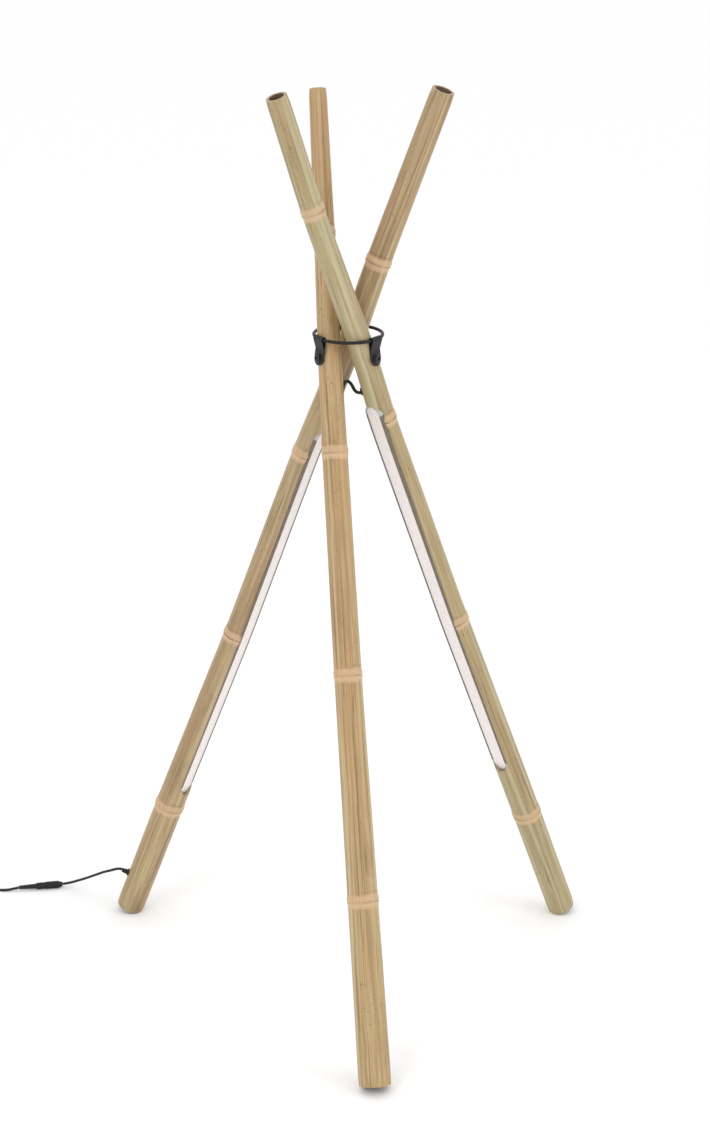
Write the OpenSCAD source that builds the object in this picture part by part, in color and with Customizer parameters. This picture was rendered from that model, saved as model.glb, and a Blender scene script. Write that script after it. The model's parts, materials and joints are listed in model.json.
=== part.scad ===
// Tripod floor lamp: three bamboo poles hang by folded steel straps from one ring collar,
// and each pole carries a recessed light bar.
// Millimetres, Z up, floor at Z = 0, origin on the floor below the middle of the footprint.
// A pole's own frame has Z along the pole from its foot and X out through its pivot screw.

/* [Tripod] */
// Height of the straps' hinge lines above the floor
hinge_z = 947; // [900:1:1000]
// Distance from the collar's axis to each hinge line
hinge_r = 45.5; // [45:0.5:50]
// Sideways lean of each pole in its strap, in degrees
lean = 19; // [15:0.5:21]
// Inward swing of each strap, in degrees
tuck = 8.5; // [7:0.5:9.5]
// Direction in which the front, right and left pole hang from the collar, in degrees
hang_angles = [207, 316, 86]; // [0:1:360]
// Distance of the collar's axis from the origin, X and Y
collar_at = [-16.7, 86.1]; // [-100:0.1:100]

/* [Collar and straps] */
// Diameter of the collar's rod
rod_d = 4.5; // [4:0.1:5]
// Thickness of the strap's sheet
strap_t = 1.1; // [0.8:0.1:1.3]
// Width of the strap
strap_w = 20; // [16:1:21]
// Inner radius of the strap's loop
loop_r = 2.9; // [2.9:0.1:3.2]
// Distance from the hinge line down to the pivot screw
pivot_drop = 26; // [21:0.5:26]
// Slope of the strap's outer layer, in degrees
loop_flare = 24; // [22:1:30]
// Radius of the pivot screw's shank
screw_r = 3; // [2.5:0.1:3.2]

/* [Poles] */
// Length of the front, right and left pole
pole_lengths = [1334, 1360, 1358]; // [1300:1:1400]
// Height of the front pole's nodes above its foot
front_nodes = [247, 549, 847, 1140]; // [150:1:1250]
// Height of the right pole's nodes above its foot
right_nodes = [187, 542, 880, 1197]; // [150:1:1250]
// Height of the left pole's nodes above its foot
left_nodes = [194, 503, 809, 1109]; // [150:1:1250]
// Thickness of the bamboo wall
wall = 4.5; // [3.5:0.1:5]
// Thickness of the solid partition at each node
septum_t = 8; // [6:0.5:10]

/* [Light bars] */
// Length of each light bar
bar_l = 630; // [560:5:640]
// Width of each light bar
bar_w = 29.6; // [28:0.1:30]
// Depth of each light bar's channel
bar_h = 10; // [9:0.5:11]
// Distance from the pole's axis to the back of the channel
bar_seat = 4.8; // [4:0.1:6]
// Height at which the front, right and left bar start above the pole's foot
bar_starts = [250, 278, 225]; // [200:1:290]
// Direction in which each bar faces in its pole's frame, in degrees
bar_angles = [247, 259, 235]; // [0:1:360]
// Spacing of the light chips
chip_pitch = 15.5; // [12:0.5:20]
// Number of light chips in each bar
chip_count = 38; // [10:1:38]

/* [Cords] */
// Diameter of the jumper cables between the poles
jumper_d = 4.5; // [4:0.5:5]
// Diameter of the power lead
lead_d = 4; // [3.5:0.5:4.5]
// Mean radius of the coiled power lead
coil_r = 22; // [20:1:24]

/* [Hidden] */
$fn = 96;
eps = 0.01;
front = 0;
right = 1;
left = 2;

// Bamboo radius at the foot, at the four nodes and at the top
culm_radii = [
    [22.2, 20.6, 18.6, 17.1, 14.2, 12.2],
    [20.2, 20.6, 19.8, 17.6, 15.4, 14.8],
    [20.6, 21.0, 19.8, 18.4, 16.8, 15.7]
];
pole_nodes = [front_nodes, right_nodes, left_nodes];
// Rise of a node's swelling, as height from the node and extra radius
node_swell = [[-9, 0], [-5, 0.4], [-2.5, 1.2], [-1, 0.5], [1.5, 1.3], [4, 1.1], [9, 0]];
foot_chamfer = 0.8;

// Strap and pivot
strap_gap = 0.2;
bearing_clear = 0.06;
loop_outer_r = loop_r + strap_t;
layer_x = -loop_r + strap_t;
rod_r = rod_d / 2;
// The bent rod stays centred in the straight loop over the strap's width
rod_sag = hinge_r - sqrt(pow(hinge_r, 2) - pow(strap_w / 2, 2));
collar_r = hinge_r + rod_sag / 2;
washer_t = 1;
washer_r = 6.5;
head_r = 5.2;
head_h = 3;
screw_past_axis = 5;
pivot_plug_l = 46;
nominal_pivot_s = 978;

// Light bar
lip_h = 1.2;
lip_w = 3;
channel_wall = 1.3;
channel_base = 1.5;
bar_clear = 0.2;
cover_clear = 0.1;
cover_t = 1.2;
board_w = 12;
board_t = 1.2;
board_l = 590;
chip_w = 5;
chip_h = 1.6;
wire_hole_in = 17.5;
fix_screw_r = 1.25;
fix_head_r = 2.6;
fix_head_h = 1.6;
fix_screw_y = 9.5;
fix_screw_depth = 9;

// Cable ports: height above the foot and direction in the pole's frame
front_ports = [[915, 262], [930, 222]];
right_port = [928, 218];
left_port = [925, 152];
lead_port = [56, 85];
grommet_r = 5.5;
grommet_neck_r = 4;
port_gap = 0.1;
grommet_h = 1.7;
relief_l = 10;
relief_tip_r = 2.8;
wire_r = 1.5;
wire_hole_r = 2.2;
cord_sides = 8;

// Free cords, each a list of hand-set points
jumper_left_front_route = [
    [-40.2, 104.9, 872.7], [-42.6, 100.9, 872.7], [-45.3, 96.2, 871.3], [-47.7, 92.7, 867], [-49.2, 91.2, 860],
    [-49.7, 92, 851.5], [-49.6, 94.2, 843], [-49.5, 96.8, 834.5], [-49.5, 98.2, 826], [-49.5, 95.7, 818],
    [-49.5, 89, 814.7], [-49.5, 82.3, 818], [-49.5, 79.5, 825.5], [-49.6, 79.6, 834], [-50, 80.2, 842],
    [-50.2, 77.7, 849.7], [-49.6, 72.6, 855.4], [-48.1, 68, 857.3]
];
jumper_front_right_route = [
    [-35.9, 73.3, 871.6], [-34.4, 77.2, 870.1], [-33.1, 81.4, 867.3], [-32.8, 84.6, 861.5], [-34, 86, 853.5],
    [-35.6, 86.2, 845.5], [-36, 86.5, 837.5], [-34, 88.3, 830.3], [-29.5, 93, 827.3], [-25, 97.7, 830.3],
    [-23, 99.8, 837.5], [-22.8, 100, 848], [-22.8, 99.5, 858], [-22.5, 97.8, 867.5], [-21, 94.5, 875.5],
    [-17.8, 89.3, 880.2], [-14, 83.8, 879.3], [-10.8, 79.3, 874.5], [-7.4, 76.2, 869.6], [-3.2, 75, 867.9],
    [0.6, 74.6, 868.9]
];
lamp_lead_route = [
    [-333, 266.1, 70], [-337.6, 266.6, 71.5], [-345, 269, 71], [-353, 274.5, 66.5], [-362, 283.5, 60],
    [-371, 294, 52], [-380, 305.5, 43], [-388.5, 317.5, 34], [-396.3, 329.3, 25.5], [-403.7, 339.6, 18.3],
    [-411, 347.6, 12.2], [-419.2, 353.3, 7.6], [-427.8, 355, 5.6]
];
adapter_lead_in = [
    [-495.7, 350.3, 5.4], [-504, 349.9, 4], [-512, 350.2, 2.6], [-520, 351.2, 2], [-530, 352.6, 2],
    [-541, 353.7, 2], [-549, 354.2, 2], [-557, 354.4, 2]
];
adapter_lead_out = [
    [-570, 356, 9], [-580, 356, 7], [-590, 356.4, 4.4], [-601, 357.2, 4.4], [-611, 358, 6.7], [-619.7, 358, 7]
];

// Connector, coil and adapter on the floor
connector_at = [-428.5, 355];
connector_angle = 184;
connector_r = 5.5;
socket_l = 26;
plug_l = 13;
plug_r = 5;
plug_relief_l = 28;
connector_relief_l = 5;
barrel_r = 2.75;
barrel_l = 9.5;
contact_r = 1;
coil_at = [-564, 382.4];
coil_half_w = 8.2;
coil_h = 11.4;
coil_round = 3;
tie_angle = 60;
tie_t = 0.8;
tie_w = 6;
tie_clear = 0.4;
adapter_at = [-630, 358];
adapter_size = [50, 40, 26];
adapter_round = 4;
adapter_relief = [10, 4, 2.6];
blade_size = [16, 1.5, 6.3];
blade_gap = 12.7;

// Frames

function unit(v) = v / norm(v);
function culm_r(k, s) = lookup(s, [
    for (i = [0:5]) [i == 0 ? 0 : i == 5 ? pole_lengths[k] : pole_nodes[k][i - 1], culm_radii[k][i]]
]);
function pole_offset(k) = culm_r(k, nominal_pivot_s) + loop_outer_r + strap_gap;
pole_tilt = acos(cos(lean) * cos(tuck));
function pivot_h(k) = hinge_z - pivot_drop * cos(tuck) - pole_offset(k) * sin(tuck);
// The rim of the square-cut foot touches the floor
function pivot_s(k) = (pivot_h(k) - culm_radii[k][0] * sin(pole_tilt)) / cos(pole_tilt);
function bar_mid(k) = bar_starts[k] + bar_l / 2;

module at_collar() {
    translate([collar_at[0], collar_at[1], hinge_z]) children();
}

module at_strap(k) {
    at_collar() rotate([0, 0, hang_angles[k]]) translate([hinge_r, 0, 0]) rotate([0, -tuck, 0]) children();
}

module on_pole(k) {
    at_strap(k) translate([-pole_offset(k), 0, -pivot_drop]) rotate([lean, 0, 0])
        translate([0, 0, -pivot_s(k)]) children();
}

// Z out of the pole's surface, at a port's height and direction
module at_port(k, port) {
    on_pole(k) rotate([0, 0, port[1]]) translate([culm_r(k, port[0]), 0, port[0]]) rotate([0, 90, 0]) children();
}

// X out of the light bar's face, Z along the bar from its middle
module at_bar(k) {
    on_pole(k) rotate([0, 0, bar_angles[k]]) translate([0, 0, bar_mid(k)]) children();
}

// Collar and straps

module collar_ring() {
    color("#1d1d1f") at_collar() rotate_extrude() translate([collar_r, 0]) circle(r = rod_r, $fn = 48);
}

// The folded strap from the side: a loop, a slanting outer layer and two flat layers together
module strap_side() {
    down = -pivot_drop - strap_w / 2;
    rim = [cos(loop_flare), -sin(loop_flare)];
    join_z = loop_outer_r * rim[1] - (loop_outer_r * rim[0] - layer_x) / tan(loop_flare);
    apex_z = loop_r * rim[1] - (loop_r * rim[0] + loop_r) / tan(loop_flare);
    difference() {
        union() {
            circle(r = loop_outer_r);
            polygon([[0, 0], loop_outer_r * rim, [layer_x, join_z], [layer_x, down],
                [-loop_outer_r, down], [-loop_outer_r, 0]]);
        }
        circle(r = loop_r);
        polygon([[0, 0], loop_r * rim, [-loop_r, apex_z], [-loop_r, 0]]);
    }
}

module strap(k) {
    color("#232325") at_strap(k) difference() {
        intersection() {
            rotate([90, 0, 0]) translate([0, 0, -strap_w / 2]) linear_extrude(strap_w) strap_side();
            translate([-2 * loop_outer_r, 0, 0]) rotate([90, 0, 90]) linear_extrude(4 * loop_outer_r) {
                translate([-strap_w / 2, -pivot_drop]) square([strap_w, pivot_drop + 2 * loop_outer_r]);
                translate([0, -pivot_drop]) circle(d = strap_w);
            }
        }
        translate([0, 0, -pivot_drop]) rotate([0, 90, 0])
            cylinder(r = screw_r + bearing_clear, h = 8 * loop_outer_r, center = true);
    }
}

// Distance along the pivot screw from the pole's axis to the washer's inner face
function washer_x(k) = pole_offset(k) + layer_x + strap_gap;

module pivot_screw(k) {
    color("#2b2b2e") on_pole(k) translate([washer_x(k) + washer_t, 0, pivot_s(k)]) rotate([0, 90, 0]) {
        difference() {
            rotate_extrude() polygon([[0, 0], [head_r, 0], [head_r, head_h * 0.45],
                [head_r * 0.86, head_h * 0.8], [head_r * 0.6, head_h], [0, head_h]]);
            translate([0, 0, head_h * 0.4]) cylinder(r = 2.3, h = head_h, $fn = 6);
        }
        translate([0, 0, -washer_x(k) - washer_t - screw_past_axis])
            cylinder(r = screw_r, h = washer_x(k) + washer_t + screw_past_axis);
    }
}

module screw_washer(k) {
    color("#55565a") on_pole(k) translate([washer_x(k), 0, pivot_s(k)]) rotate([0, 90, 0]) difference() {
        cylinder(r = washer_r, h = washer_t - eps);
        translate([0, 0, -1]) cylinder(r = screw_r + bearing_clear, h = washer_t + 2);
    }
}

// Poles

// Outline of the bamboo: straight taper between the nodes, with a swelling at each
function culm_outline(k) = concat(
    [[0, 0], [culm_radii[k][0] - foot_chamfer, 0], [culm_r(k, foot_chamfer), foot_chamfer]],
    [for (n = pole_nodes[k]) for (p = node_swell) [culm_r(k, n + p[0]) + p[1], n + p[0]]],
    [[culm_radii[k][5], pole_lengths[k] - foot_chamfer], [culm_radii[k][5] - foot_chamfer, pole_lengths[k]],
        [0, pole_lengths[k]]]
);

// The hollow between two heights, with eased corners
module hollow(k, low, high, low_ease, high_ease) {
    rotate_extrude() polygon([
        [0, low], [culm_r(k, low) - wall - low_ease, low], [culm_r(k, low) - wall, low + 2 * low_ease],
        [culm_r(k, high) - wall, high - 2 * high_ease], [culm_r(k, high) - wall - high_ease, high], [0, high]
    ]);
}

// Rounded slab lying behind the bar's face, from depth x0 to x1
module bar_slab(w, l, x0, x1) {
    translate([x0, 0, -l / 2]) rotate([90, 0, 90]) linear_extrude(x1 - x0) {
        translate([-w / 2, w / 2]) square([w, l - w]);
        translate([0, w / 2]) circle(d = w);
        translate([0, l - w / 2]) circle(d = w);
    }
}

// The channel's fixing screws sit in the two middle partitions
module each_fixing(k) {
    for (i = [1, 2])
        translate([bar_seat + channel_base, fix_screw_y, pole_nodes[k][i] - bar_mid(k)]) rotate([0, 90, 0])
            children();
}

module port_hole(k, port, r) {
    rotate([0, 0, port[1]]) translate([0, 0, port[0]]) rotate([0, 90, 0]) cylinder(r = r, h = 40);
}

module culm_blank(k) {
    n = pole_nodes[k];
    half = septum_t / 2;
    difference() {
        rotate_extrude() polygon(culm_outline(k));
        hollow(k, -1, n[0] - half, 0, 2);
        for (i = [0:2]) hollow(k, n[i] + half, n[i + 1] - half, 2, 2);
        hollow(k, n[3] + half, pole_lengths[k] + 1, 2, 0);
        translate([0, 0, pivot_s(k)]) rotate([0, 90, 0]) cylinder(r = screw_r + bearing_clear, h = 40);
        rotate([0, 0, bar_angles[k]]) translate([0, 0, bar_mid(k)]) {
            bar_slab(bar_w + 2 * bar_clear, bar_l + 2 * bar_clear, bar_seat, bar_seat + 40);
            each_fixing(k) translate([0, 0, -channel_base - fix_screw_depth])
                cylinder(r = fix_screw_r + bearing_clear, h = channel_base + fix_screw_depth, $fn = 32);
        }
        children();
    }
}

module culm_front() {
    color("#c9a878") on_pole(front) culm_blank(front)
        for (p = front_ports) port_hole(front, p, grommet_neck_r + bearing_clear);
}

module culm_right() {
    color("#a99a72") on_pole(right) culm_blank(right) port_hole(right, right_port, grommet_neck_r + bearing_clear);
}

module culm_left() {
    color("#b39a74") on_pole(left) culm_blank(left) {
        for (p = [left_port, lead_port]) port_hole(left, p, grommet_neck_r + bearing_clear);
        translate([0, 0, left_nodes[0] - septum_t]) cylinder(r = wire_hole_r + 1, h = 2 * septum_t);
    }
}

// Hardwood plug inside the pole that the pivot screw bites into
module pivot_plug(k) {
    top = pivot_s(k) + pivot_plug_l / 2;
    color("#8a5a34") on_pole(k) difference() {
        translate([0, 0, top - pivot_plug_l]) cylinder(r = culm_r(k, top) - wall - bearing_clear, h = pivot_plug_l);
        translate([-screw_past_axis - eps, 0, pivot_s(k)]) rotate([0, 90, 0]) cylinder(r = screw_r + eps, h = 40);
    }
}

// Light bars

module bar_profile() {
    inner = bar_w - 2 * channel_wall;
    gap = bar_w - 2 * lip_w;
    face = bar_seat + bar_h;
    difference() {
        bar_slab(bar_w, bar_l, bar_seat, face);
        bar_slab(inner, bar_l - 2 * channel_wall, bar_seat + channel_base, face - lip_h);
        bar_slab(gap, bar_l - 2 * lip_w, face - 2 * lip_h, face + 1);
    }
}

module bar_middle() {
    straight = bar_l - bar_w;
    translate([0, -bar_w, -straight / 2]) cube([4 * bar_w, 2 * bar_w, straight]);
}

module light_channel(k) {
    color("#b9b7b2") at_bar(k) difference() {
        intersection() {
            bar_profile();
            bar_middle();
        }
        each_fixing(k) cylinder(r = fix_screw_r + bearing_clear, h = 3 * channel_base, center = true, $fn = 32);
        for (e = k == left ? [-1, 1] : [1])
            translate([bar_seat, 0, e * (bar_l / 2 - wire_hole_in)]) rotate([0, 90, 0])
                cylinder(r = wire_hole_r, h = 3 * channel_base, center = true, $fn = 32);
    }
}

module end_caps(k) {
    color("#a09d98") at_bar(k) difference() {
        bar_profile();
        bar_middle();
    }
}

module opal_cover(k) {
    face = bar_seat + bar_h;
    tongue = bar_w - 2 * channel_wall - 2 * cover_clear;
    window = bar_w - 2 * lip_w - 2 * cover_clear;
    under_lip = face - lip_h - cover_clear;
    color("#efe6e0") at_bar(k) {
        bar_slab(tongue, bar_l - bar_w + tongue, under_lip - cover_t, under_lip);
        bar_slab(window, bar_l - bar_w + window, under_lip - cover_t, face - 2 * cover_clear);
    }
}

module led_board(k) {
    color("#f2f2ee") at_bar(k) translate([bar_seat + channel_base, -board_w / 2, -board_l / 2])
        cube([board_t, board_w, board_l]);
}

module led_chips(k) {
    color("#ffe9a8") at_bar(k) for (i = [0:chip_count - 1])
        translate([bar_seat + channel_base + board_t, -chip_w / 2, (i - (chip_count - 1) / 2) * chip_pitch - chip_w / 2])
            cube([chip_h, chip_w, chip_w]);
}

module channel_screws(k) {
    color("#d0d0d0") at_bar(k) each_fixing(k) {
        cylinder(r = fix_head_r, h = fix_head_h, $fn = 32);
        translate([0, 0, -channel_base - fix_screw_depth + eps])
            cylinder(r = fix_screw_r, h = channel_base + fix_screw_depth, $fn = 32);
    }
}

// Cords and wires

// Direction of a route at point i
function heading(route, i) = unit(route[min(i + 1, len(route) - 1)] - route[max(i - 1, 0)]);

// Ring of corners around point i; side is never along the route
function cord_ring(route, i, r, side) =
    let (along = heading(route, i), u = unit(cross(side, along)), v = cross(along, u))
    [for (j = [0:cord_sides - 1]) let (a = 360 * j / cord_sides) route[i] + r * (cos(a) * u + sin(a) * v)];

module cord(route, r, side = [0, 0, 1]) {
    n = cord_sides;
    last = len(route) - 1;
    polyhedron(
        points = [for (i = [0:last]) for (p = cord_ring(route, i, r, side)) p],
        faces = concat(
            [[for (j = [0:n - 1]) j]],
            [[for (j = [n - 1:-1:0]) last * n + j]],
            [for (i = [0:last - 1]) for (j = [0:n - 1])
                [i * n + j, (i + 1) * n + j, (i + 1) * n + (j + 1) % n, i * n + (j + 1) % n]]
        )
    );
}

// Wire inside a pole, in the light bar's direction, from a port to the bar's end; toward is 1 up the pole and
// -1 down it, and aside keeps two wires apart
function wire_run(k, port, end, toward, aside) =
    let (
        a = port[1] - bar_angles[k],
        out = [cos(a), sin(a), 0],
        inside = culm_r(k, port[0]) - wall - wire_r,
        s = port[0]
    )
    [out * inside + [0, 0, s], out * (inside - 4) + [0, 0, s + 1.5 * toward], out * 3.5 + [0, aside, s + 12 * toward],
        [0, aside, (s + end) / 2], [1.5, aside, end - 6 * toward], [2.2, aside / 2, end - 2.5 * toward],
        [4, 0, end], [7, 0, end]];

function top_wire(k, port, aside = 0) = wire_run(k, port, bar_starts[k] + bar_l - wire_hole_in, -1, aside);

module in_pole_wire(k, route) {
    color("#303030") on_pole(k) rotate([0, 0, bar_angles[k]]) cord(route, wire_r, [0, 1, 0]);
}

module inner_wires_front() {
    in_pole_wire(front, top_wire(front, front_ports[0], -2));
    in_pole_wire(front, top_wire(front, front_ports[1], 2));
}

module inner_wires_left() {
    in_pole_wire(left, wire_run(left, lead_port, bar_starts[left] + wire_hole_in, 1, 0));
    in_pole_wire(left, top_wire(left, left_port));
}

module cable_grommet(k, port) {
    color("#151515") at_port(k, port) {
        translate([0, 0, port_gap]) rotate_extrude() polygon([[0, 0], [grommet_r, 0], [grommet_r, grommet_h * 0.5],
            [grommet_r * 0.75, grommet_h], [0, grommet_h]]);
        translate([0, 0, -wall]) cylinder(r = grommet_neck_r, h = wall + 1);
    }
}

module strain_relief() {
    color("#151515") at_port(left, lead_port) {
        translate([0, 0, port_gap]) rotate_extrude() polygon([[0, 0], [grommet_r, 0], [grommet_r, 1.2],
            [grommet_neck_r, 1.8], [relief_tip_r, relief_l], [0, relief_l]]);
        translate([0, 0, -wall]) cylinder(r = grommet_neck_r, h = wall + 1);
    }
}

module jumper_left_front() {
    color("#141414") cord(jumper_left_front_route, jumper_d / 2, [1, 0, 0]);
}

module jumper_front_right() {
    color("#141414") cord(jumper_front_right_route, jumper_d / 2, [1, 0.2, 0]);
}

module lamp_lead() {
    color("#141414") cord(lamp_lead_route, lead_d / 2);
}

// Connector, with Z along it from the lamp's side towards the adapter's side
module at_connector() {
    translate([connector_at[0], connector_at[1], connector_r]) rotate([0, 0, connector_angle]) rotate([0, 90, 0])
        children();
}

module dc_socket() {
    color("#181818") at_connector() difference() {
        rotate_extrude() polygon([[0, 0], [relief_tip_r + 0.6, 0], [connector_r - 1, connector_relief_l],
            [connector_r, connector_relief_l + 1], [connector_r, socket_l - 0.8], [connector_r - 0.8, socket_l],
            [0, socket_l]]);
        translate([0, 0, socket_l - barrel_l - 1]) cylinder(r = barrel_r + 0.1, h = barrel_l + 2);
    }
}

module dc_socket_contact() {
    color("#c8c8c8") at_connector() translate([0, 0, socket_l - barrel_l - 1]) cylinder(r = contact_r, h = barrel_l, $fn = 32);
}

module dc_plug() {
    color("#181818") at_connector() translate([0, 0, socket_l]) rotate_extrude() polygon([
        [0, 0], [plug_r, 0], [plug_r, plug_l], [plug_r - 1.2, plug_l + 1.5],
        [relief_tip_r, plug_l + plug_relief_l], [0, plug_l + plug_relief_l]
    ]);
}

module dc_barrel() {
    color("#d8d8d8") at_connector() translate([0, 0, socket_l - barrel_l]) difference() {
        cylinder(r = barrel_r, h = barrel_l, $fn = 48);
        translate([0, 0, -1]) cylinder(r = contact_r + 0.1, h = barrel_l + 0.5, $fn = 32);
    }
}

module adapter_lead() {
    color("#141414") {
        cord(adapter_lead_in, lead_d / 2);
        cord(adapter_lead_out, lead_d / 2);
    }
}

// Outer shape of the coiled lead
module cord_coil() {
    w = coil_half_w;
    c = coil_round;
    color("#141414") translate([coil_at[0], coil_at[1], 0]) rotate_extrude() translate([coil_r, 0]) polygon([
        [-w + c / 2, 0], [w - c / 2, 0], [w, c / 2], [w, coil_h * 0.35], [w - c, coil_h],
        [-w + c, coil_h], [-w, coil_h * 0.35], [-w, c / 2]
    ]);
}

module coil_tie() {
    color("#2a2a2a") translate([coil_at[0], coil_at[1], 0]) rotate([0, 0, tie_angle])
        translate([coil_r, tie_w / 2, 0]) rotate([90, 0, 0]) linear_extrude(tie_w) difference() {
            translate([-coil_half_w - tie_clear - tie_t, 0])
                square([2 * (coil_half_w + tie_t) + tie_clear, coil_h + tie_t]);
            translate([-coil_half_w - tie_clear, -1]) square([2 * coil_half_w + tie_clear, coil_h + 1]);
        }
}

module power_adapter() {
    l = adapter_size[0];
    w = adapter_size[1];
    h = adapter_size[2];
    r = adapter_round;
    color("#1a1a1a") {
        translate([adapter_at[0] - l, adapter_at[1], h / 2]) rotate([90, 0, 90]) linear_extrude(l) union() {
            square([w, h - 2 * r], center = true);
            square([w - 2 * r, h], center = true);
            for (x = [-1, 1]) for (y = [-1, 1]) translate([x * (w / 2 - r), y * (h / 2 - r)]) circle(r = r);
        }
        translate([adapter_at[0] - eps, adapter_at[1], 7]) rotate([0, 90, 0])
            cylinder(r1 = adapter_relief[1], r2 = adapter_relief[2], h = adapter_relief[0]);
    }
}

module plug_blades() {
    color("#c8b070") for (side = [-1, 1])
        translate([adapter_at[0] - adapter_size[0] - blade_size[0],
            adapter_at[1] + side * blade_gap / 2 - blade_size[1] / 2, (adapter_size[2] - blade_size[2]) / 2])
            cube([blade_size[0], blade_size[1], blade_size[2]]);
}

collar_ring();
culm_front();
culm_right();
culm_left();
pivot_plug(front);  // pivot_plug_front
pivot_plug(right);  // pivot_plug_right
pivot_plug(left);  // pivot_plug_left
strap(front);  // strap_front
strap(right);  // strap_right
strap(left);  // strap_left
pivot_screw(front);  // pivot_screw_front
pivot_screw(right);  // pivot_screw_right
pivot_screw(left);  // pivot_screw_left
screw_washer(front);  // screw_washer_front
screw_washer(right);  // screw_washer_right
screw_washer(left);  // screw_washer_left
light_channel(front);  // light_channel_front
light_channel(right);  // light_channel_right
light_channel(left);  // light_channel_left
end_caps(front);  // end_caps_front
end_caps(right);  // end_caps_right
end_caps(left);  // end_caps_left
opal_cover(front);  // opal_cover_front
opal_cover(right);  // opal_cover_right
opal_cover(left);  // opal_cover_left
led_board(front);  // led_board_front
led_board(right);  // led_board_right
led_board(left);  // led_board_left
led_chips(front);  // led_chips_front
led_chips(right);  // led_chips_right
led_chips(left);  // led_chips_left
channel_screws(front);  // channel_screws_front
channel_screws(right);  // channel_screws_right
channel_screws(left);  // channel_screws_left
inner_wires_front();
in_pole_wire(right, top_wire(right, right_port));  // inner_wire_right
inner_wires_left();
for (p = front_ports) cable_grommet(front, p);  // cable_grommets_front
cable_grommet(right, right_port);  // cable_grommet_right
cable_grommet(left, left_port);  // cable_grommet_left
jumper_left_front();
jumper_front_right();
strain_relief();
lamp_lead();
dc_socket();
dc_socket_contact();
dc_plug();
dc_barrel();
adapter_lead();
cord_coil();
coil_tie();
power_adapter();
plug_blades();
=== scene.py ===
import json
import math

import bmesh
import bpy
import numpy as np
from mathutils import Matrix, Vector, noise


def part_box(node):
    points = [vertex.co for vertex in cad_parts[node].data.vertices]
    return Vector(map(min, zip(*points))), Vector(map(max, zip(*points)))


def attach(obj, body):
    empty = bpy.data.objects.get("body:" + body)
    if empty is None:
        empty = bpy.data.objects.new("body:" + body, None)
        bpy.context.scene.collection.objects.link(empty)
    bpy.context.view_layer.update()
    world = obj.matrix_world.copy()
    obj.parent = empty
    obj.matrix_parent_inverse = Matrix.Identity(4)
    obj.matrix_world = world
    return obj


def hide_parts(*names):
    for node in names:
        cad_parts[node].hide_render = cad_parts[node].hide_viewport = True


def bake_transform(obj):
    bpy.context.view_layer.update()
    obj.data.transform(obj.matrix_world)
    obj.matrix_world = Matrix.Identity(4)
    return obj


# Lengths here are in millimetres, as in part.scad, and meshes are scaled to metres when they are made.
MM = 0.001

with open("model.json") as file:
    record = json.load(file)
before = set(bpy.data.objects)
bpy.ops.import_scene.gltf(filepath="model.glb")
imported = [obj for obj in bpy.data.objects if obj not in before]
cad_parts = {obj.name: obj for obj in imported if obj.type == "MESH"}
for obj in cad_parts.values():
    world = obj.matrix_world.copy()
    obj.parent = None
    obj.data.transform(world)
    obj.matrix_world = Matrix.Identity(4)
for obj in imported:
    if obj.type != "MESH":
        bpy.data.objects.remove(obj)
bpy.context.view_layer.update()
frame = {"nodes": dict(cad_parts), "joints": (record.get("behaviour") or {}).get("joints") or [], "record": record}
nodes = frame["nodes"]
joints = {j["name"]: j for j in frame["joints"]}
POLES = ("front", "right", "left")

LEAN = 19
POLE_LENGTH = {"front": 1334, "right": 1360, "left": 1358}
POLE_NODES = {
    "front": (247, 549, 847, 1140),
    "right": (187, 542, 880, 1197),
    "left": (194, 503, 809, 1109),
}
POLE_RADII = {
    "front": (22.2, 20.6, 18.6, 17.1, 14.2, 12.2),
    "right": (20.2, 20.6, 19.8, 17.6, 15.4, 14.8),
    "left": (20.6, 21.0, 19.8, 18.4, 16.8, 15.7),
}
BAR_START = {"front": 250, "right": 278, "left": 225}
BAR_ANGLE = {"front": 247, "right": 259, "left": 235}
BAR_L, BAR_W, BAR_H, BAR_SEAT = 630, 29.6, 10, 4.8
BAR_CLEAR, SEAT_CUT_TO = 0.2, 45
NOMINAL_PIVOT_S = 978
LOOP_R, STRAP_T, STRAP_GAP = 2.9, 1.1, 0.2
STRAP_STACK = LOOP_R + STRAP_T + STRAP_GAP
WALL = 4.5

# Sideways crookedness of each pole at its foot, its three lower nodes, the pivot, the top node and the top
BOW = {
    "front": (2.7, 1, -0.9, -0.5, 0, 3, 5.5),
    "right": (3, 1.1, -5, -5, 0, -0.7, 4.5),
    "left": (-5, -4, 0, -3, 0, -4, -5),
}
BOW_EASE = 30


def unit(v):
    return v / np.linalg.norm(v)


def centre(node):
    low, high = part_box(node)
    return (np.array(low) + np.array(high)) / 2 / MM


# Camera, placed from the collar's axis: distance and height in millimetres, then the way it is turned

CAM_AZ, CAM_D, CAM_H = math.radians(-6.5), 3315, 1855
CAM_PAN, CAM_TILT, CAM_ROLL = math.radians(-0.18), math.radians(20.45), math.radians(0.26)


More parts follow.
